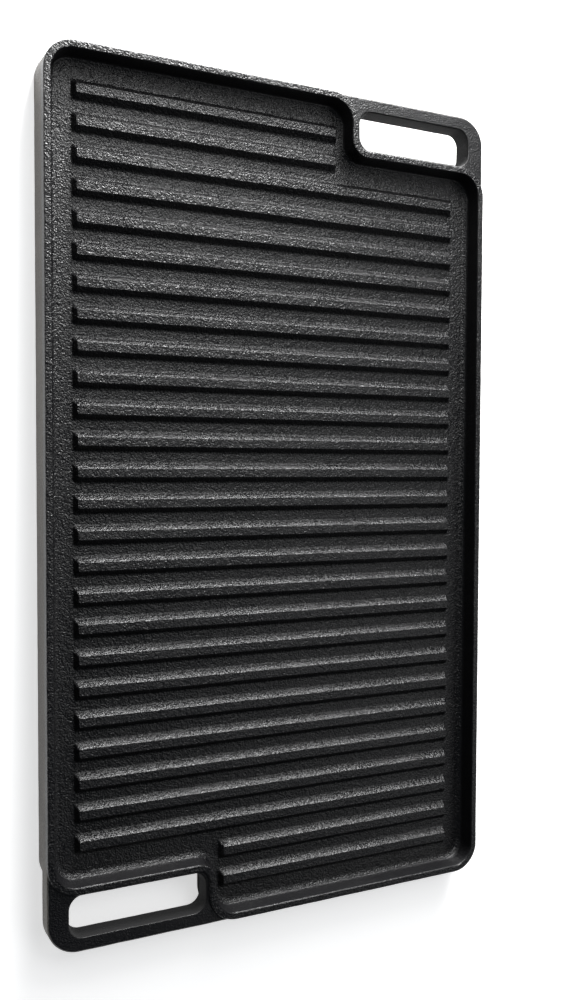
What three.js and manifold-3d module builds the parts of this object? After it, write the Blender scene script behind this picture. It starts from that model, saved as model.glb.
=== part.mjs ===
// Reversible cast-iron grill plate: one casting, ribbed grill side up, smooth griddle side down.
// Millimetres. +X runs across the plate, +Y along it, +Z up out of the ribbed side.
// The origin is on the resting plane, under the middle of the plate.
// A half turn about Z brings the plate onto itself: a loop handle fills one corner of the outline
// at +X +Y, and its twin fills the corner at -X -Y.
import * as THREE from "three";
import { mergeVertices } from "three/addons/utils/BufferGeometryUtils.js";
import Module from "manifold-3d";

const wasm = await Module();
wasm.setup();

// ---- driving dimensions -----------------------------------------------------------------------
const LENGTH = 432; // along Y, at the top of the rim
const WIDTH = 249; // along X, at the top of the rim
const HEIGHT = 18; // resting plane to the top of the rim
const CORNER_R = 15; // every outward corner of the outline
const WALL_DRAFT = 0.8; // how far the outer walls lean out from the top of the rim to the base
const EDGE = 0.5; // chamfer on the casting's edges

const RIM_WIDTH = 3.7; // top face of the raised rim
const RIM_ABOVE_RIBS = 7.2;
const INNER_DRAFT = 0.5; // how far the rim's inner wall leans in above the floor fillet
const FLOOR_FILLET = 3.5; // between the floor and the rim's inner wall

const NOTCH_X = 42.3; // the pan's wall beside a handle's inner end
const NOTCH_Y = 187.6; // the pan's wall along a handle's slot
const NOTCH_R = 6; // the inward corner where those two walls meet

const RIB_COUNT = 27;
const RIB_PITCH = 15.16;
const RIB_TOP = 4.3; // width of a rib's flat top
const RIB_HEIGHT = 3.6; // above the pan's floor
const RIB_FLANK = 2.6; // plan width of each sloping flank
const RIB_END_RUN = 1.7; // plan length of the sloping end
const RIB_REACH = 107.5; // middle of the plate to the end of a full rib's flat top
const RIB_NOTCH_GAP = 10.3; // end of a short rib's flat top to the outside of the notch wall

const HANDLE_DROP = 1.5; // handle face below the top of the rim
const HANDLE_THICKNESS = 10.5;
const HANDLE_EDGE = 1.2; // rounding of the handle's outer edges
const SLOT_END_BAR = 10.3; // bar between the slot and the plate's long side
const SLOT_SIDE_BAR = 7.1; // bar between the slot and the plate's short side
const SLOT_LEDGE_X = 1.5; // strip of handle between the notch wall and the slot's inner end
const SLOT_LEDGE_Y = 0.7; // strip of handle between the notch wall and the slot's long side
const SLOT_R = 7;
const SLOT_DRAFT = 0.5; // how far the slot closes in towards its underside
const SLOT_EDGE = 0.6; // chamfer round both mouths of the slot

const BASE_RING = 5; // width of the ring that the plate rests on
const GRIDDLE_DEPTH = 3; // griddle face above the resting plane
const GUTTER_DEPTH = 1.2; // grease gutter, cut into the griddle face
const GUTTER_WIDTH = 8;
const GUTTER_SLOPE = 0.8; // plan width of the gutter's sloping walls

const ARC_STEPS = 6; // straight pieces in each quarter circle
const OVERSHOOT = 1; // how far a cutter runs past the face it opens
const ROOT = 0.6; // how far a rib is sunk into the floor, so that it joins
const JOIN_R = 3; // corners of a handle's block that end inside the pan

// ---- worked out from them ---------------------------------------------------------------------
const FLOOR_Z = HEIGHT - RIM_ABOVE_RIBS - RIB_HEIGHT;
const HANDLE_TOP = HEIGHT - HANDLE_DROP;
const HANDLE_BOTTOM = HANDLE_TOP - HANDLE_THICKNESS;
const halfTurn = ({ x, y, r }) => ({ x: -x, y: -y, r });

// Corners go anticlockwise, seen from above, and r is the radius at the top of the rim.
const HALF_PAN = [
  { x: WIDTH / 2, y: -LENGTH / 2, r: CORNER_R },
  { x: WIDTH / 2, y: NOTCH_Y, r: CORNER_R },
  { x: NOTCH_X, y: NOTCH_Y, r: NOTCH_R },
  { x: NOTCH_X, y: LENGTH / 2, r: CORNER_R },
];
const PAN = [...HALF_PAN, ...HALF_PAN.map(halfTurn)];

// A handle's block reaches past the rounded corners of the pan, so that the two join.
const HANDLE = rectangle(
  NOTCH_X - CORNER_R - JOIN_R,
  WIDTH / 2,
  NOTCH_Y - CORNER_R - JOIN_R,
  LENGTH / 2,
  [JOIN_R, JOIN_R, CORNER_R, JOIN_R],
);
const SLOT = rectangle(
  NOTCH_X + SLOT_LEDGE_X,
  WIDTH / 2 - SLOT_END_BAR,
  NOTCH_Y + SLOT_LEDGE_Y,
  LENGTH / 2 - SLOT_SIDE_BAR,
  [SLOT_R, SLOT_R, SLOT_R, SLOT_R],
);

// Radii go round from the corner at low X and low Y.
function rectangle(x0, x1, y0, y1, radii) {
  const places = [
    [x0, y0],
    [x1, y0],
    [x1, y1],
    [x0, y1],
  ];
  return places.map(([x, y], i) => ({ x, y, r: radii[i] }));
}

// The outline with its square corners rounded, and the whole of it moved outwards by grow.
function ring(corners, grow) {
  const points = [];
  corners.forEach((corner, i) => {
    const here = new THREE.Vector2(corner.x, corner.y);
    const before = corners.at(i - 1);
    const after = corners[(i + 1) % corners.length];
    const into = here.clone().sub(before).normalize();
    const outOf = new THREE.Vector2(after.x, after.y).sub(here).normalize();
    const outward = into.cross(outOf) > 0; // a left turn is an outward corner
    const radius = corner.r + (outward ? grow : -grow);
    const centre = here.addScaledVector(into, -corner.r).addScaledVector(outOf, corner.r);
    for (let k = 0; k <= ARC_STEPS; k++) {
      const angle = (k / ARC_STEPS) * (Math.PI / 2);
      points.push(
        centre
          .clone()
          .addScaledVector(outOf, -radius * Math.cos(angle))
          .addScaledVector(into, radius * Math.sin(angle)),
      );
    }
  });
  return points;
}

// A closed body through rings of the same number of points, each { z, points }, lowest first.
function loft(levels) {
  const count = levels[0].points.length;
  const positions = levels.flatMap(({ z, points }) => points.flatMap(({ x, y }) => [x, y, z]));
  const indices = [];
  for (let level = 0; level + 1 < levels.length; level++)
    for (let i = 0; i < count; i++) {
      const a = level * count + i;
      const b = level * count + ((i + 1) % count);
      indices.push(a, b, b + count, a, b + count, a + count);
    }
  const cap = (points, first, flip) =>
    THREE.ShapeUtils.triangulateShape(points, []).forEach(([a, b, c]) =>
      indices.push(first + a, first + (flip ? c : b), first + (flip ? b : c)),
    );
  cap(levels[0].points, 0, true);
  cap(levels.at(-1).points, (levels.length - 1) * count, false);
  const geometry = new THREE.BufferGeometry();
  geometry.setAttribute("position", new THREE.Float32BufferAttribute(positions, 3));
  geometry.setIndex(indices);
  return solid(geometry);
}

// levels: [z, grow] pairs on one outline.
const loftOutline = (corners, levels) =>
  loft(levels.map(([z, grow]) => ({ z, points: ring(corners, grow) })));

function solid(geometry) {
  const merged = mergeVertices(geometry);
  return new wasm.Manifold(
    new wasm.Mesh({
      numProp: 3,
      vertProperties: new Float32Array(merged.attributes.position.array),
      triVerts: new Uint32Array(merged.index.array),
    }),
  );
}

const turnHalf = (shape) => shape.rotate([0, 0, 180]);
const wallLean = (z) => (WALL_DRAFT * (HEIGHT - z)) / HEIGHT;

// ---- the pieces of the shape ------------------------------------------------------------------
function panBlock() {
  return loftOutline(PAN, [
    [0, wallLean(0) - EDGE],
    [EDGE, wallLean(EDGE)],
    [HEIGHT - EDGE, wallLean(HEIGHT - EDGE)],
    [HEIGHT, wallLean(HEIGHT) - EDGE],
  ]);
}

function panHollow() {
  const fillet = [];
  for (let k = 0; k <= ARC_STEPS; k++) {
    const angle = (k / ARC_STEPS) * (Math.PI / 2);
    fillet.push([
      FLOOR_Z + FLOOR_FILLET * (1 - Math.cos(angle)),
      -RIM_WIDTH - INNER_DRAFT - FLOOR_FILLET * (1 - Math.sin(angle)),
    ]);
  }
  return loftOutline(PAN, [
    ...fillet,
    [HEIGHT - EDGE, -RIM_WIDTH],
    [HEIGHT, EDGE - RIM_WIDTH],
    [HEIGHT + OVERSHOOT, EDGE - RIM_WIDTH],
  ]);
}

function handle() {
  const block = loftOutline(HANDLE, [
    [HANDLE_BOTTOM, wallLean(HANDLE_BOTTOM) - HANDLE_EDGE],
    [HANDLE_BOTTOM + HANDLE_EDGE, wallLean(HANDLE_BOTTOM + HANDLE_EDGE)],
    [HANDLE_TOP - HANDLE_EDGE, wallLean(HANDLE_TOP - HANDLE_EDGE)],
    [HANDLE_TOP, wallLean(HANDLE_TOP) - HANDLE_EDGE],
  ]);
  const slot = loftOutline(SLOT, [
    [HANDLE_BOTTOM - OVERSHOOT, SLOT_EDGE - SLOT_DRAFT],
    [HANDLE_BOTTOM, SLOT_EDGE - SLOT_DRAFT],
    [HANDLE_BOTTOM + SLOT_EDGE, -SLOT_DRAFT],
    [HANDLE_TOP - SLOT_EDGE, 0],
    [HANDLE_TOP, SLOT_EDGE],
    [HANDLE_TOP + OVERSHOOT, SLOT_EDGE],
  ]);
  return block.subtract(slot);
}

// One rib, across the plate at height y, with its flat top from x0 to x1.
function rib(y, x0, x1) {
  const outline = (spread) =>
    rectangle(
      x0 - RIB_END_RUN * spread,
      x1 + RIB_END_RUN * spread,
      y - RIB_TOP / 2 - RIB_FLANK * spread,
      y + RIB_TOP / 2 + RIB_FLANK * spread,
      [0, 0, 0, 0],
    ).map((corner) => new THREE.Vector2(corner.x, corner.y));
  return loft([
    { z: FLOOR_Z - ROOT, points: outline(1) },
    { z: FLOOR_Z, points: outline(1) },
    { z: FLOOR_Z + RIB_HEIGHT, points: outline(0) },
  ]);
}

// A rib level with a handle stops short of the notch.
function ribs() {
  const shortEnd = NOTCH_X - RIB_NOTCH_GAP;
  const rows = [];
  for (let i = 0; i < RIB_COUNT; i++) {
    const y = (i - (RIB_COUNT - 1) / 2) * RIB_PITCH;
    const besideHandle = Math.abs(y) + RIB_TOP / 2 + RIB_FLANK > NOTCH_Y - RIM_WIDTH - FLOOR_FILLET;
    rows.push(
      rib(
        y,
        besideHandle && y < 0 ? -shortEnd : -RIB_REACH,
        besideHandle && y > 0 ? shortEnd : RIB_REACH,
      ),
    );
  }
  return rows.reduce((all, row) => all.add(row));
}

// The recess of the griddle side, deepest in the gutter that runs round inside the base ring.
function griddleRecess() {
  const gutterZ = GRIDDLE_DEPTH + GUTTER_DEPTH;
  const recess = loftOutline(PAN, [
    [-OVERSHOOT, -BASE_RING],
    [0, -BASE_RING],
    [gutterZ, -BASE_RING - GUTTER_SLOPE],
  ]);
  const islandEdge = -BASE_RING - GUTTER_SLOPE - GUTTER_WIDTH;
  const island = loftOutline(PAN, [
    [GRIDDLE_DEPTH, islandEdge - GUTTER_SLOPE],
    [gutterZ, islandEdge],
    [gutterZ + OVERSHOOT, islandEdge],
  ]);
  return recess.subtract(island);
}

// ---- the casting ------------------------------------------------------------------------------
function casting() {
  const oneHandle = handle();
  return panBlock()
    .add(oneHandle)
    .add(turnHalf(oneHandle))
    .subtract(panHollow())
    .add(ribs())
    .subtract(griddleRecess());
}

// The solid's triangles as a flat-shaded geometry.
function geometryOf(shape) {
  const { numProp, vertProperties, triVerts } = shape.getMesh();
  const positions = [];
  for (const vertex of triVerts)
    positions.push(...vertProperties.subarray(vertex * numProp, vertex * numProp + 3));
  const geometry = new THREE.BufferGeometry();
  geometry.setAttribute("position", new THREE.Float32BufferAttribute(positions, 3));
  geometry.computeVertexNormals();
  return geometry;
}

const seasonedIron = new THREE.MeshStandardMaterial({
  color: 0x2b2a29,
  roughness: 0.55,
  metalness: 0.35,
});

const plate = new THREE.Mesh(geometryOf(casting()), seasonedIron);
plate.name = "grill_plate_casting";

const part = new THREE.Group();
part.add(plate);

export default part;
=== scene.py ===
# Cast iron reversible grill plate, lying ribbed side up on a pale studio floor.
# The plate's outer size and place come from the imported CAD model, and its design is the same;
# this script adds the true rounds, the cast surface and the look.
import math

import bmesh
import bpy
import numpy as np
from mathutils import Matrix, Vector, noise


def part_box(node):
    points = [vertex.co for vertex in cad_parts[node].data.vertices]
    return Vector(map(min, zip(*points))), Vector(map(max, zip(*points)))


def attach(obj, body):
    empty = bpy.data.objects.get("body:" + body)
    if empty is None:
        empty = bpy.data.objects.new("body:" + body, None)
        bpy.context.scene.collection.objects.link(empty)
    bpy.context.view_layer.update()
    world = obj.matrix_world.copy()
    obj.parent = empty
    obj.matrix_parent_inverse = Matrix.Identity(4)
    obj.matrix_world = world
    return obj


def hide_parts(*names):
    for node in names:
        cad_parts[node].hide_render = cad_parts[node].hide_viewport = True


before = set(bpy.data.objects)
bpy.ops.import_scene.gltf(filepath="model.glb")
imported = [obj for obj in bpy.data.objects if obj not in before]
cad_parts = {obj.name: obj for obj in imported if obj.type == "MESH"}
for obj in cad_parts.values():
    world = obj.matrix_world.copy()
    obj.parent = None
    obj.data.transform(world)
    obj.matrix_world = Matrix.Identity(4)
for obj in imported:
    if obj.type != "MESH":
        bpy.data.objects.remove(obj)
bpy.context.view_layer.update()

MM = 0.001
NODE = "grill_plate_casting"

# ---- sizes, in millimetres, the same design as the CAD casting --------------------------------
cad_low, cad_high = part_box(NODE)
HEIGHT = (cad_high.z - cad_low.z) / MM
WALL_DRAFT = 0.8  # how far the outer walls lean out from the top of the rim to the base
CAD_EDGE = 0.5  # chamfer along the CAD casting's foot, which is widest just above it
BOX_LEAN = WALL_DRAFT * (HEIGHT - CAD_EDGE) / HEIGHT
WIDTH = (cad_high.x - cad_low.x) / MM - 2 * BOX_LEAN
LENGTH = (cad_high.y - cad_low.y) / MM - 2 * BOX_LEAN
CORNER_R = 15.0

RIM_WIDTH = 3.7
RIM_ABOVE_RIBS = 7.2
RIM_ROUND = 0.75
INNER_DRAFT = 0.5  # how far the rim's inner wall leans in above the floor fillet
FLOOR_FILLET = 3.5
WALL_LEVELS = 3  # rings up the outer wall between its two rounded edges

NOTCH_X = 42.3
NOTCH_Y = 187.6
NOTCH_R = 6.0

RIB_COUNT = 27
RIB_PITCH = 15.16
RIB_TOP = 4.3  # width of the flat top
RIB_HEIGHT = 3.6
RIB_FLANK = 2.6  # level run of each long side's slope
RIB_END_RUN = 1.7
RIB_REACH = 107.5  # middle of the plate to the end of a full rib's flat top
RIB_NOTCH_GAP = 10.3  # end of a short rib's flat top to the outside of the notch wall
RIB_ROUND = 0.35
RIB_ROOT_FILLET = 1.6
RIB_END_SPREAD = 1.5  # how much of the root fillet the rib ends have room for
RIB_CORNER_R = 0.7
RIB_CORNER_SPREAD = 0.6  # how much larger the corner radius is at the foot

HANDLE_DROP = 1.5
HANDLE_THICKNESS = 10.5
HANDLE_ROUND = 1.3
SLOT_END_BAR = 10.3
SLOT_SIDE_BAR = 7.1
SLOT_LEDGE_X = 1.5  # strip of handle between the notch wall and the slot's inner end
SLOT_LEDGE_Y = 0.7  # strip of handle between the notch wall and the slot's long side
SLOT_R = 7.0
SLOT_DRAFT = 0.5  # how far the slot closes in towards its underside
SLOT_ROUND = 0.7
JOIN_R = 3.0  # corners of a handle's block that end inside the pan
TOP_SKIRT = 0.6
UNDER_SKIRT = 1.8
SKIRT_SINK = 0.4  # how deep a skirt is rooted in the handle
SKIRT_INSET = 1.5  # how far a skirt stops short of the handle's outline
BEYOND = 5.0  # how far a cutting solid reaches past the plate

BASE_RING = 5.0
BASE_ROUND = 0.8
GRIDDLE_DEPTH = 3.0  # base ring's foot up to the griddle face
GUTTER_DEPTH = 1.2
GUTTER_WIDTH = 8.0
GUTTER_SLOPE = 0.8  # level run of the slope on each side of the gutter
GUTTER_ROUND = 0.5
GUTTER_EASE = 0.2

FLOOR_Z = HEIGHT - RIM_ABOVE_RIBS - RIB_HEIGHT
HANDLE_TOP = HEIGHT - HANDLE_DROP
HANDLE_BOTTOM = HANDLE_TOP - HANDLE_THICKNESS

ARC_STEPS = 12
STEP = 4.0  # spacing of points along straight stretches
ROUND_STEPS = 4
RIB_ARC_STEPS = 3


# ---- outlines and lofts ------------------------------------------------------------------------
def half_turn(corner):
    x, y, r = corner
    return (-x, -y, r)


HALF_PAN = [
    (WIDTH / 2, -LENGTH / 2, CORNER_R),
    (WIDTH / 2, NOTCH_Y, CORNER_R),
    (NOTCH_X, NOTCH_Y, NOTCH_R),
    (NOTCH_X, LENGTH / 2, CORNER_R),
]
PAN = HALF_PAN + [half_turn(corner) for corner in HALF_PAN]


def rectangle(x0, x1, y0, y1, radii):
    places = [(x0, y0), (x1, y0), (x1, y1), (x0, y1)]
    return [(x, y, r) for (x, y), r in zip(places, radii)]


HANDLE = rectangle(
    NOTCH_X - CORNER_R - JOIN_R,
    WIDTH / 2,
    NOTCH_Y - CORNER_R - JOIN_R,
    LENGTH / 2,
    [JOIN_R, JOIN_R, CORNER_R, JOIN_R],
)
SLOT = rectangle(
    NOTCH_X + SLOT_LEDGE_X,
    WIDTH / 2 - SLOT_END_BAR,
    NOTCH_Y + SLOT_LEDGE_Y,
    LENGTH / 2 - SLOT_SIDE_BAR,
    [SLOT_R] * 4,
)


def ring(corners, grow=0.0, arc_steps=ARC_STEPS, cuts=None):
    """The outline as points, its square corners rounded and all of it moved outwards by grow.
    Each straight side is cut about every STEP, or into the number of pieces that cuts gives,
    and grow changes neither number, so that rings of one outline loft together."""
    points = []
    for i, (x, y, r) in enumerate(corners):
        next_x, next_y, next_r = corners[(i + 1) % len(corners)]
        here, after = Vector((x, y)), Vector((next_x, next_y))
        into = (here - Vector(corners[i - 1][:2])).normalized()
        out_of = (after - here).normalized()
        outward = into.x * out_of.y - into.y * out_of.x > 0
        radius = r + (grow if outward else -grow)
        centre = here + (out_of - into) * r
        for k in range(arc_steps + 1):
            angle = k / arc_steps * math.pi / 2
            reach = into * math.sin(angle) - out_of * math.cos(angle)
            points.append(centre + reach * radius)
        run = (after - here).length - r - next_r
        pieces = cuts[i] if cuts else max(1, round(run / STEP))
        start = points[-1]
        points.extend(start + out_of * run * k / pieces for k in range(1, pieces))
    return [tuple(p) for p in points]


def quarter(steps=ROUND_STEPS):
    """Sine and cosine pairs round a quarter circle, from 0 to 90 degrees."""
    return [
        (math.sin(k / steps * math.pi / 2), math.cos(k / steps * math.pi / 2))
        for k in range(steps + 1)
    ]


def wall_lean(z):
    return WALL_DRAFT * (HEIGHT - z) / HEIGHT


class Builder:
    """Collects rings of points and the faces between them."""

    def __init__(self):
        self.bm = bmesh.new()

    def add_ring(self, points, z):
        return [self.bm.verts.new((x, y, z)) for x, y in points]

    def skin(self, lower, upper):
        n = len(lower)
        for i in range(n):
            j = (i + 1) % n
            self.bm.faces.new((lower[i], lower[j], upper[j], upper[i]))

    def loft(self, levels):
        """levels: (points, z) from the first ring to the last. Returns both end rings."""
        rings = [self.add_ring(points, z) for points, z in levels]
        for lower, upper in zip(rings, rings[1:]):
            self.skin(lower, upper)
        return rings[0], rings[-1]

    def fill(self, *loops):
        """Triangles over the flat area between loops."""
        edges = []
        for loop in loops:
            for i, vertex in enumerate(loop):
                edge = self.bm.edges.get((vertex, loop[(i + 1) % len(loop)]))
                edges.append(edge)
        bmesh.ops.triangle_fill(self.bm, use_beauty=True, use_dissolve=False, edges=edges)

    def finish(self, name):
        bmesh.ops.recalc_face_normals(self.bm, faces=self.bm.faces)
        mesh = bpy.data.meshes.new(name)
        self.bm.to_mesh(mesh)
        self.bm.free()
        piece = bpy.data.objects.new(name, mesh)
        bpy.context.scene.collection.objects.link(piece)
        return piece


def outline_levels(corners, pairs):
    return [(ring(corners, grow), z) for z, grow in pairs]


# ---- the pan: base, rim and floor, with its ribs -----------------------------------------------
def pan_section():
    """(z, grow) pairs of the pan's section, from the griddle face round the rim to the floor."""
    gutter_z = GRIDDLE_DEPTH + GUTTER_DEPTH
    gutter_out = -BASE_RING - GUTTER_SLOPE
    gutter_in = gutter_out - GUTTER_WIDTH
    section = [
        (GRIDDLE_DEPTH, gutter_in - GUTTER_SLOPE - GUTTER_ROUND),
        (GRIDDLE_DEPTH + GUTTER_EASE, gutter_in - GUTTER_SLOPE),
        (gutter_z - GUTTER_EASE, gutter_in - GUTTER_EASE),
        (gutter_z, gutter_in + GUTTER_ROUND),
        (gutter_z, gutter_out - 2 * GUTTER_ROUND),
        (gutter_z - GUTTER_ROUND, gutter_out - GUTTER_EASE),
    ]
    for s, c in quarter():
        section.append((BASE_ROUND * (1 - s), -BASE_RING + BASE_ROUND * (1 - c)))
    for s, c in quarter():
        section.append((BASE_ROUND * (1 - c), wall_lean(0) - BASE_ROUND * (1 - s)))
    for z in np.linspace(BASE_ROUND, HEIGHT - RIM_ROUND, WALL_LEVELS + 2)[1:-1]:
        section.append((float(z), wall_lean(z)))
    for s, c in quarter():
        z = HEIGHT - RIM_ROUND * (1 - s)
        section.append((z, wall_lean(z) - RIM_ROUND * (1 - c)))
    for s, c in quarter():
        section.append((HEIGHT - RIM_ROUND * (1 - c), -RIM_WIDTH + RIM_ROUND * (1 - s)))
    for s, c in quarter(2 * ROUND_STEPS):
        section.append(
            (
                FLOOR_Z + FLOOR_FILLET * (1 - s),
                -RIM_WIDTH - INNER_DRAFT - FLOOR_FILLET * (1 - c),
            )
        )
    return section


def rib_section():
    """(spread, height) pairs up one flank: spread 1 is the foot of the flank and 0 its top edge."""
    slope = math.atan2(RIB_HEIGHT, RIB_FLANK)
    pairs = []
    for radius, foot in ((RIB_ROOT_FILLET, True), (RIB_ROUND, False)):
        tangent = radius * math.tan(slope / 2)
        steps = 2 * ROUND_STEPS if foot else ROUND_STEPS
        for k in range(steps + 1):
            angle = slope * k / steps
            if foot:
                run = RIB_FLANK + tangent - radius * math.sin(angle)
                height = radius * (1 - math.cos(angle))
            else:
                run = -tangent + radius * math.sin(slope - angle)
                height = RIB_HEIGHT - radius * (1 - math.cos(slope - angle))
            pairs.append((run / RIB_FLANK, height))
    return pairs


def rib_outline(y, x0, x1, spread):
    """A rib's outline at one spread: 0 is round its flat top, and 1 is where its flanks end."""
    flank = RIB_TOP / 2 + RIB_FLANK * spread
    end = RIB_END_RUN * min(spread, 1) + RIB_END_SPREAD * max(spread - 1, 0)
    radius = RIB_CORNER_R + RIB_CORNER_SPREAD * max(spread, 0)
    return rectangle(x0 - end, x1 + end, y - flank, y + flank, [radius] * 4)


def rib_places():
    """(y, x0, x1) of each rib's flat top: a rib level with a handle stops short of the notch."""
    short_end = NOTCH_X - RIB_NOTCH_GAP
    for i in range(RIB_COUNT):
        y = (i - (RIB_COUNT - 1) / 2) * RIB_PITCH
        beside = abs(y) + RIB_TOP / 2 + RIB_FLANK > NOTCH_Y - RIM_WIDTH - FLOOR_FILLET
        x0 = -short_end if beside and y < 0 else -RIB_REACH
        x1 = short_end if beside and y > 0 else RIB_REACH
        yield y, x0, x1


def make_pan():
    build = Builder()
    under, floor = build.loft(outline_levels(PAN, pan_section()))
    build.fill(under)
    feet = []
    for y, x0, x1 in rib_places():
        lengthwise = round((x1 - x0) / STEP)
        cuts = (lengthwise, 1, lengthwise, 1)
        levels = []
        for spread, height in rib_section():
            outline = rib_outline(y, x0, x1, spread)
            points = ring(outline, arc_steps=RIB_ARC_STEPS, cuts=cuts)
            levels.append((points, FLOOR_Z + height))
        foot, top = build.loft(levels)
        build.fill(top)
        feet.append(foot)
    build.fill(floor, *feet)
    return build.finish("pan")


# ---- the handles -------------------------------------------------------------------------------
def make_handle_block():
    build = Builder()
    block = []
    for s, c in quarter():
        z = HANDLE_BOTTOM + HANDLE_ROUND * (1 - c)
        block.append((z, wall_lean(z) - HANDLE_ROUND * (1 - s)))
    for s, c in quarter():
        z = HANDLE_TOP - HANDLE_ROUND * (1 - s)
        block.append((z, wall_lean(z) - HANDLE_ROUND * (1 - c)))
    outer_low, outer_high = build.loft(outline_levels(HANDLE, block))
    slot = []
    for s, c in quarter():
        slot.append((HANDLE_BOTTOM + SLOT_ROUND * (1 - c), -SLOT_DRAFT + SLOT_ROUND * (1 - s)))
    for s, c in quarter():
        slot.append((HANDLE_TOP - SLOT_ROUND * (1 - s), SLOT_ROUND * (1 - c)))
    inner_low, inner_high = build.loft(outline_levels(SLOT, slot))
    build.fill(outer_low, inner_low)
    build.fill(outer_high, inner_high)
    return build.finish("handle_block")


def make_prism(corners, pairs, name):
    """A closed solid through (z, grow) pairs on one outline."""
    build = Builder()
    low, high = build.loft(outline_levels(corners, pairs))
    build.fill(low)
    build.fill(high)
    return build.finish(name)


def combine(piece, tool, operation):
    """Joins or cuts piece with tool, and deletes the tool."""
    modifier = piece.modifiers.new("join", "BOOLEAN")
    modifier.operation = operation
    modifier.solver = "MANIFOLD"
    modifier.object = tool
    bpy.context.view_layer.update()
    depsgraph = bpy.context.evaluated_depsgraph_get()
    mesh = bpy.data.meshes.new_from_object(piece.evaluated_get(depsgraph))
    old = piece.data
    piece.modifiers.clear()
    piece.data = mesh
    bpy.data.meshes.remove(old)
    bpy.data.objects.remove(tool)


def make_skirt(at, size, upward, name):
    """The small fillet where a handle's face meets the pan's outer wall."""
    sign = 1 if upward else -1
    pairs = [(at - sign * SKIRT_SINK, wall_lean(at) + size)]
    for s, c in quarter():
        pairs.append((at + sign * size * (1 - c), wall_lean(at) + size * (1 - s)))
    if not upward:
        pairs.reverse()
    skirt = make_prism(PAN, pairs, name)
    region = make_prism(HANDLE, [(0, -SKIRT_INSET), (HEIGHT, -SKIRT_INSET)], "region")
    combine(skirt, region, "INTERSECT")
    return skirt


def make_handle():
    handle = make_handle_block()
    combine(handle, make_skirt(HANDLE_TOP, TOP_SKIRT, True, "top_skirt"), "UNION")
    combine(handle, make_skirt(HANDLE_BOTTOM, UNDER_SKIRT, False, "under_skirt"), "UNION")
    middle = -RIM_WIDTH / 2
    hollow = make_prism(PAN, [(-BEYOND, middle), (HEIGHT + BEYOND, middle)], "hollow")
    combine(handle, hollow, "DIFFERENCE")
    return handle


def turned_copy(piece):
    copy = bpy.data.objects.new(piece.name + "_turned", piece.data.copy())
    copy.data.transform(Matrix.Rotation(math.pi, 4, "Z"))
    bpy.context.scene.collection.objects.link(copy)
    return copy


# ---- the cast surface, in millimetres ----------------------------------------------------------
WOBBLE = 0.09  # how far the casting strays from its drawing
WOBBLE_SPAN = 9.0
RIPPLE = 0.035
RIPPLE_SPAN = 2.6
RIPPLE_OFFSET = Vector((31, 7, 3))  # keeps the ripple clear of the wobble's pattern
LEVEL_BELOW = GRIDDLE_DEPTH + 0.05  # just above the griddle face
SURFACE_SEED = 7  # without one, noise_vector is seeded from the clock


def roughen(mesh):
    """Moves each point a little, as sand casting leaves edges and faces not quite true. No point
    leaves the CAD model's box, and the ring it stands on and the griddle face stay flat."""
    noise.seed_set(SURFACE_SEED)
    low, high = cad_low / MM, cad_high / MM
    for vertex in mesh.vertices:
        at = vertex.co.copy()
        moved = at + noise.noise_vector(at / WOBBLE_SPAN) * WOBBLE
        moved += noise.noise_vector(at / RIPPLE_SPAN + RIPPLE_OFFSET) * RIPPLE
        if at.z < LEVEL_BELOW:
            moved.z = at.z
        vertex.co = [min(max(value, least), most) for value, least, most in zip(moved, low, high)]


# How pebbled each zone's skin is, from 0 to 1.
PAN_GRAIN = 1.0
INNER_WALL_GRAIN = 0.35
HANDLE_GRAIN = 0.5
UNDER_GRAIN = 0.3
WALL_GRAIN = 0.12
WALL_ENDS_AT = 0.4  # the part of the floor fillet's radius where the inner wall's skin gives way
UNDER_BELOW = FLOOR_Z - 1  # inside the pan's outline, the underside is all below this level
HANDLE_FACE_ABOVE = HANDLE_TOP - 0.1
OUTLINE_SLACK = 0.05  # lets points that lie on an outline count as inside it


def is_inside_pan(x, y, handle_side, inset=0.0):
    """True within the outer edge of the rim moved in by inset. x and y are distances from the
    plate's middle."""
    reach = OUTLINE_SLACK - inset
    if handle_side and min(x - NOTCH_X, y - NOTCH_Y) > reach:
        return False
    corners = [(WIDTH / 2, LENGTH / 2)]
    if handle_side:
        corners = [(WIDTH / 2, NOTCH_Y), (NOTCH_X, LENGTH / 2)]
    for corner_x, corner_y in corners:
        dx, dy = x - (corner_x - CORNER_R), y - (corner_y - CORNER_R)
        if dx > 0 and dy > 0 and math.hypot(dx, dy) > CORNER_R + reach:
            return False
    return x <= WIDTH / 2 + reach and y <= LENGTH / 2 + reach


def grain_at(x, y, z):
    """How pebbled the skin is: most on the cooking side, least on the outer walls."""
    place = (abs(x), abs(y), x * y > 0)
    if is_inside_pan(*place):
        if z < UNDER_BELOW:
            return UNDER_GRAIN
        fillet_part = FLOOR_FILLET * WALL_ENDS_AT
        inside_rim = is_inside_pan(*place, inset=RIM_WIDTH - RIM_ROUND / 2)
        past_wall = is_inside_pan(*place, inset=RIM_WIDTH + INNER_DRAFT + fillet_part)
        if z > FLOOR_Z + fillet_part and inside_rim and not past_wall:
            return INNER_WALL_GRAIN
        return PAN_GRAIN
    on_handle = x * y > 0 and abs(x) > NOTCH_X - CORNER_R and abs(y) > NOTCH_Y - CORNER_R
    if on_handle and z > HANDLE_FACE_ABOVE:
        return HANDLE_GRAIN
    return WALL_GRAIN


def is_slot_wall(x, y, z):
    """True on the walls of a handle's slot, up to its top edge."""
    margin = SLOT_DRAFT / 2
    across = NOTCH_X + SLOT_LEDGE_X - margin < abs(x) < WIDTH / 2 - SLOT_END_BAR + margin
    along = NOTCH_Y + SLOT_LEDGE_Y - margin < abs(y) < LENGTH / 2 - SLOT_SIDE_BAR + margin
    return x * y > 0 and across and along and z < HANDLE_FACE_ABOVE


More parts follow.
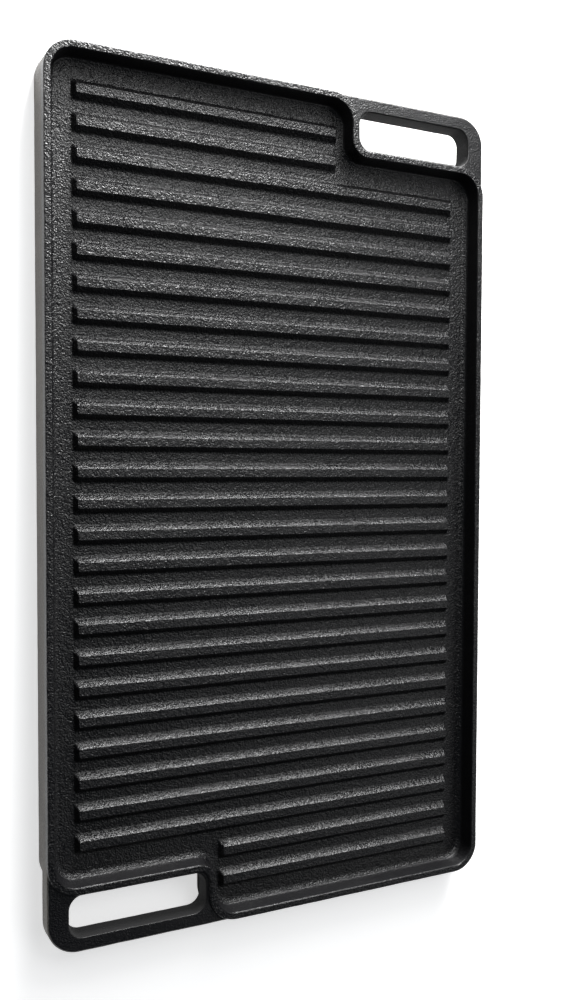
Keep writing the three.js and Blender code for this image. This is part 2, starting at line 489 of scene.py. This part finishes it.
def paint_zones(mesh):
    """Writes on each point how grainy its skin is, and whether it is on a slot's wall, where the
    material paints shade and dulls the skin.
    """
    grain = mesh.attributes.new("grain", "FLOAT", "POINT")
    slot = mesh.attributes.new("slot_wall", "FLOAT", "POINT")
    places = [tuple(vertex.co) for vertex in mesh.vertices]
    grain.data.foreach_set("value", [grain_at(*place) for place in places])
    slot.data.foreach_set("value", [float(is_slot_wall(*place)) for place in places])


SHARP_ANGLE = 50.0  # degrees


def make_plate():
    plate = make_pan()
    handle = make_handle()
    other = turned_copy(handle)
    combine(plate, handle, "UNION")
    combine(plate, other, "UNION")
    plate.name = "grill_plate"
    mesh = plate.data
    mesh.name = "grill_plate"
    paint_zones(mesh)
    roughen(mesh)
    mesh.transform(Matrix.Scale(MM, 4))
    mesh.shade_smooth()
    mesh.set_sharp_from_angle(angle=math.radians(SHARP_ANGLE))
    weighted = plate.modifiers.new("weighted_normals", "WEIGHTED_NORMAL")
    weighted.mode = "FACE_AREA"
    weighted.keep_sharp = True
    return plate


# ---- materials ---------------------------------------------------------------------------------
# A noise scale is in cells per metre. A pair of tones is mixed in patches.
PATCH_SCALE = 45.0
FINE_SCALE = 1150.0
COARSE_SCALE = 520.0
MID_RANGE = (0.3, 0.7)  # the stretch of a noise's values that its effect runs over
WORN_RANGE = (0.35, 0.65)
SPECK_RANGE = (0.52, 0.72)
SMOOTH_TONES = ((0.036, 0.026, 0.013), (0.028, 0.020, 0.011))
COOKED_TONES = ((0.0030, 0.0030, 0.0038), (0.0040, 0.0039, 0.0046))
SPECK_TONE = (0.011, 0.0105, 0.010)
# painted shade: this near-black tone on the slot walls stands in for the shade inside the slots
SLOT_PAINTED_SHADE = (0.0012, 0.0012, 0.0015)
ROUGH_LOW, ROUGH_HIGH = 0.24, 0.34
PATCH_ROUGHNESS = 0.03
SMOOTH_ROUGHNESS = 0.16  # what a skin with no grain adds
SLOT_ROUGHNESS = 0.4
COARSE_SHARE = 0.6
SMOOTH_RELIEF = 0.2  # relief of a skin with no grain, as a part of the full relief
RELIEF_DEPTH = 0.00058  # metres
IRON_IOR = 1.5

FLOOR_SCALE = 6.0
FLOOR_TONES = ((0.92, 0.92, 0.92), (0.94, 0.94, 0.94))
FLOOR_ROUGHNESS = 0.9
FLOOR_GLOW = 0.6


def link(tree, source, target):
    tree.links.new(source, target)


def noise_node(tree, coords, scale, detail=2.0, roughness=0.5):
    node = tree.nodes.new("ShaderNodeTexNoise")
    node.inputs["Scale"].default_value = scale
    node.inputs["Detail"].default_value = detail
    node.inputs["Roughness"].default_value = roughness
    link(tree, coords, node.inputs["Vector"])
    return node.outputs["Fac"]


def map_range(tree, value, low, high, to_low, to_high):
    node = tree.nodes.new("ShaderNodeMapRange")
    node.inputs["From Min"].default_value = low
    node.inputs["From Max"].default_value = high
    node.inputs["To Min"].default_value = to_low
    node.inputs["To Max"].default_value = to_high
    link(tree, value, node.inputs["Value"])
    return node.outputs["Result"]


def math_node(tree, operation, a, b):
    node = tree.nodes.new("ShaderNodeMath")
    node.operation = operation
    for socket, value in zip(node.inputs, (a, b)):
        if isinstance(value, (int, float)):
            socket.default_value = value
        else:
            link(tree, value, socket)
    return node.outputs["Value"]


def mix_colour(tree, factor, a, b):
    node = tree.nodes.new("ShaderNodeMix")
    node.data_type = "RGBA"
    link(tree, factor, node.inputs["Factor"])
    for name, value in (("A", a), ("B", b)):
        socket = next(s for s in node.inputs if s.name == name and s.type == "RGBA")
        if isinstance(value, tuple):
            socket.default_value = (*value, 1.0)
        else:
            link(tree, value, socket)
    return next(s for s in node.outputs if s.type == "RGBA")


def attribute_node(tree, name):
    node = tree.nodes.new("ShaderNodeAttribute")
    node.attribute_name = name
    return node.outputs["Fac"]


def new_material(name):
    """A material with its node tree, its shader and the object's own coordinates."""
    material = bpy.data.materials.new(name)
    material.use_nodes = True
    tree = material.node_tree
    coords = tree.nodes.new("ShaderNodeTexCoord").outputs["Object"]
    return material, tree, tree.nodes["Principled BSDF"], coords


def iron_tone(tree, patches, fine, grain, slot_wall):
    """Brown on the smooth outer walls, near black where it is cooked on, with pale specks, and
    near-black painted shade on a slot's walls.
    """
    worn = map_range(tree, patches, *WORN_RANGE, 0, 1)
    smooth_tone = mix_colour(tree, worn, *SMOOTH_TONES)
    cooked_tone = mix_colour(tree, worn, *COOKED_TONES)
    cooked = map_range(tree, grain, WALL_GRAIN, UNDER_GRAIN, 0, 1)
    tone = mix_colour(tree, cooked, smooth_tone, cooked_tone)
    speck = map_range(tree, fine, *SPECK_RANGE, 0, 1)
    speck = math_node(tree, "MULTIPLY", speck, grain)
    tone = mix_colour(tree, speck, tone, SPECK_TONE)
    # painted shade: a slot's walls are darkened to the near-black painted shade tone
    return mix_colour(tree, slot_wall, tone, SLOT_PAINTED_SHADE)


def iron_roughness(tree, patches, fine, grain, slot_wall):
    """Glossiest where it is grainy, and dull on a slot's walls."""
    pebbles = map_range(tree, fine, *MID_RANGE, ROUGH_LOW, ROUGH_HIGH)
    patchy = map_range(tree, patches, *MID_RANGE, -PATCH_ROUGHNESS, PATCH_ROUGHNESS)
    smooth = map_range(tree, grain, 0, 1, SMOOTH_ROUGHNESS, 0.0)
    slot = math_node(tree, "MULTIPLY", slot_wall, SLOT_ROUGHNESS)
    pebbles = math_node(tree, "ADD", pebbles, patchy)
    return math_node(tree, "ADD", pebbles, math_node(tree, "ADD", smooth, slot))


def seasoned_iron():
    material, tree, shader, coords = new_material("seasoned_iron")
    grain = attribute_node(tree, "grain")
    slot_wall = attribute_node(tree, "slot_wall")
    patches = noise_node(tree, coords, PATCH_SCALE, detail=3.0)
    fine = noise_node(tree, coords, FINE_SCALE, detail=1.5, roughness=0.6)
    coarse = noise_node(tree, coords, COARSE_SCALE, detail=1.0)

    tone = iron_tone(tree, patches, fine, grain, slot_wall)
    link(tree, tone, shader.inputs["Base Color"])
    roughness = iron_roughness(tree, patches, fine, grain, slot_wall)
    link(tree, roughness, shader.inputs["Roughness"])

    pebble = math_node(tree, "ADD", fine, math_node(tree, "MULTIPLY", coarse, COARSE_SHARE))
    strength = map_range(tree, grain, 0, 1, SMOOTH_RELIEF, 1.0)
    bump = tree.nodes.new("ShaderNodeBump")
    bump.inputs["Strength"].default_value = 1.0
    bump.inputs["Distance"].default_value = RELIEF_DEPTH
    link(tree, math_node(tree, "MULTIPLY", pebble, strength), bump.inputs["Height"])
    link(tree, bump.outputs["Normal"], shader.inputs["Normal"])
    shader.inputs["IOR"].default_value = IRON_IOR
    return material


def studio_floor():
    material, tree, shader, coords = new_material("studio_floor")
    mottle = noise_node(tree, coords, FLOOR_SCALE)
    colour = mix_colour(tree, mottle, *FLOOR_TONES)
    link(tree, colour, shader.inputs["Base Color"])
    shader.inputs["Roughness"].default_value = FLOOR_ROUGHNESS
    shader.inputs["Emission Color"].default_value = (1, 1, 1, 1)
    shader.inputs["Emission Strength"].default_value = FLOOR_GLOW
    return material


# ---- the stage, in metres ----------------------------------------------------------------------
FLOOR_SIZE = 6.0
FLOOR_GAP = 0.0001  # keeps the floor from coinciding with the ring the plate stands on


def make_floor():
    bpy.ops.mesh.primitive_plane_add(size=FLOOR_SIZE, location=(0, 0, -FLOOR_GAP))
    floor = bpy.context.object
    floor.name = "floor"
    floor.data.materials.append(studio_floor())


def softbox(name, azimuth, elevation, distance, size, power):
    """A square soft light, in metres and watts, aimed at the middle of the plate. Azimuth 0
    is towards +Y, and azimuth 90 is towards -X."""
    turn, rise = math.radians(azimuth), math.radians(elevation)
    level = distance * math.cos(rise)
    at = Vector((-math.sin(turn) * level, math.cos(turn) * level, distance * math.sin(rise)))
    data = bpy.data.lights.new(name, "AREA")
    data.size = size
    data.energy = power
    light = bpy.data.objects.new(name, data)
    light.location = at
    light.rotation_euler = (-at).to_track_quat("-Z", "Y").to_euler()
    bpy.context.scene.collection.objects.link(light)


def make_lights():
    softbox("far_low", azimuth=-14, elevation=11, distance=1.0, size=0.4, power=26.0)
    softbox("far_middle", azimuth=-18, elevation=32, distance=1.0, size=0.4, power=6.0)
    softbox("far_high", azimuth=-22, elevation=56, distance=1.0, size=0.5, power=3.0)
    softbox("side", azimuth=-112, elevation=44, distance=1.0, size=0.6, power=1.2)
    softbox("near_left", azimuth=42, elevation=30, distance=0.6, size=0.3, power=0.5)


SKY_COLOUR = (0.78, 0.88, 1.0, 1.0)
SKY_STRENGTH = 0.065


def make_sky():
    world = bpy.data.worlds.new("studio")
    world.use_nodes = True
    background = world.node_tree.nodes["Background"]
    background.inputs["Color"].default_value = SKY_COLOUR
    background.inputs["Strength"].default_value = SKY_STRENGTH
    bpy.context.scene.world = world


CAMERA_AT = (-0.218, 0.0179, 0.466)
CAMERA_TARGET = (-0.0028, -0.0013, HEIGHT * MM)
CAMERA_ROLL = -0.2  # degrees
LENS = 34.4  # millimetres
SHIFT_Y = 0.0047
NEAR_CLIP = 0.01


def make_camera():
    data = bpy.data.cameras.new("camera")
    data.lens = LENS
    data.shift_y = SHIFT_Y
    data.clip_start = NEAR_CLIP
    camera = bpy.data.objects.new("camera", data)
    at, target = Vector(CAMERA_AT), Vector(CAMERA_TARGET)
    back = (at - target).normalized()
    right = Vector((0, 1, 0)).cross(back).normalized()
    up = back.cross(right)
    facing = Matrix((right, up, back)).transposed()
    roll = Matrix.Rotation(math.radians(-CAMERA_ROLL), 3, back)
    camera.matrix_world = Matrix.Translation(at) @ (roll @ facing).to_4x4()
    bpy.context.scene.collection.objects.link(camera)
    bpy.context.scene.camera = camera


make_camera()
make_floor()
make_lights()
make_sky()
plate = make_plate()
plate.data.materials.clear()
plate.data.materials.append(seasoned_iron())
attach(plate, "root")
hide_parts(NODE)
bpy.context.scene.view_settings.view_transform = "Standard"
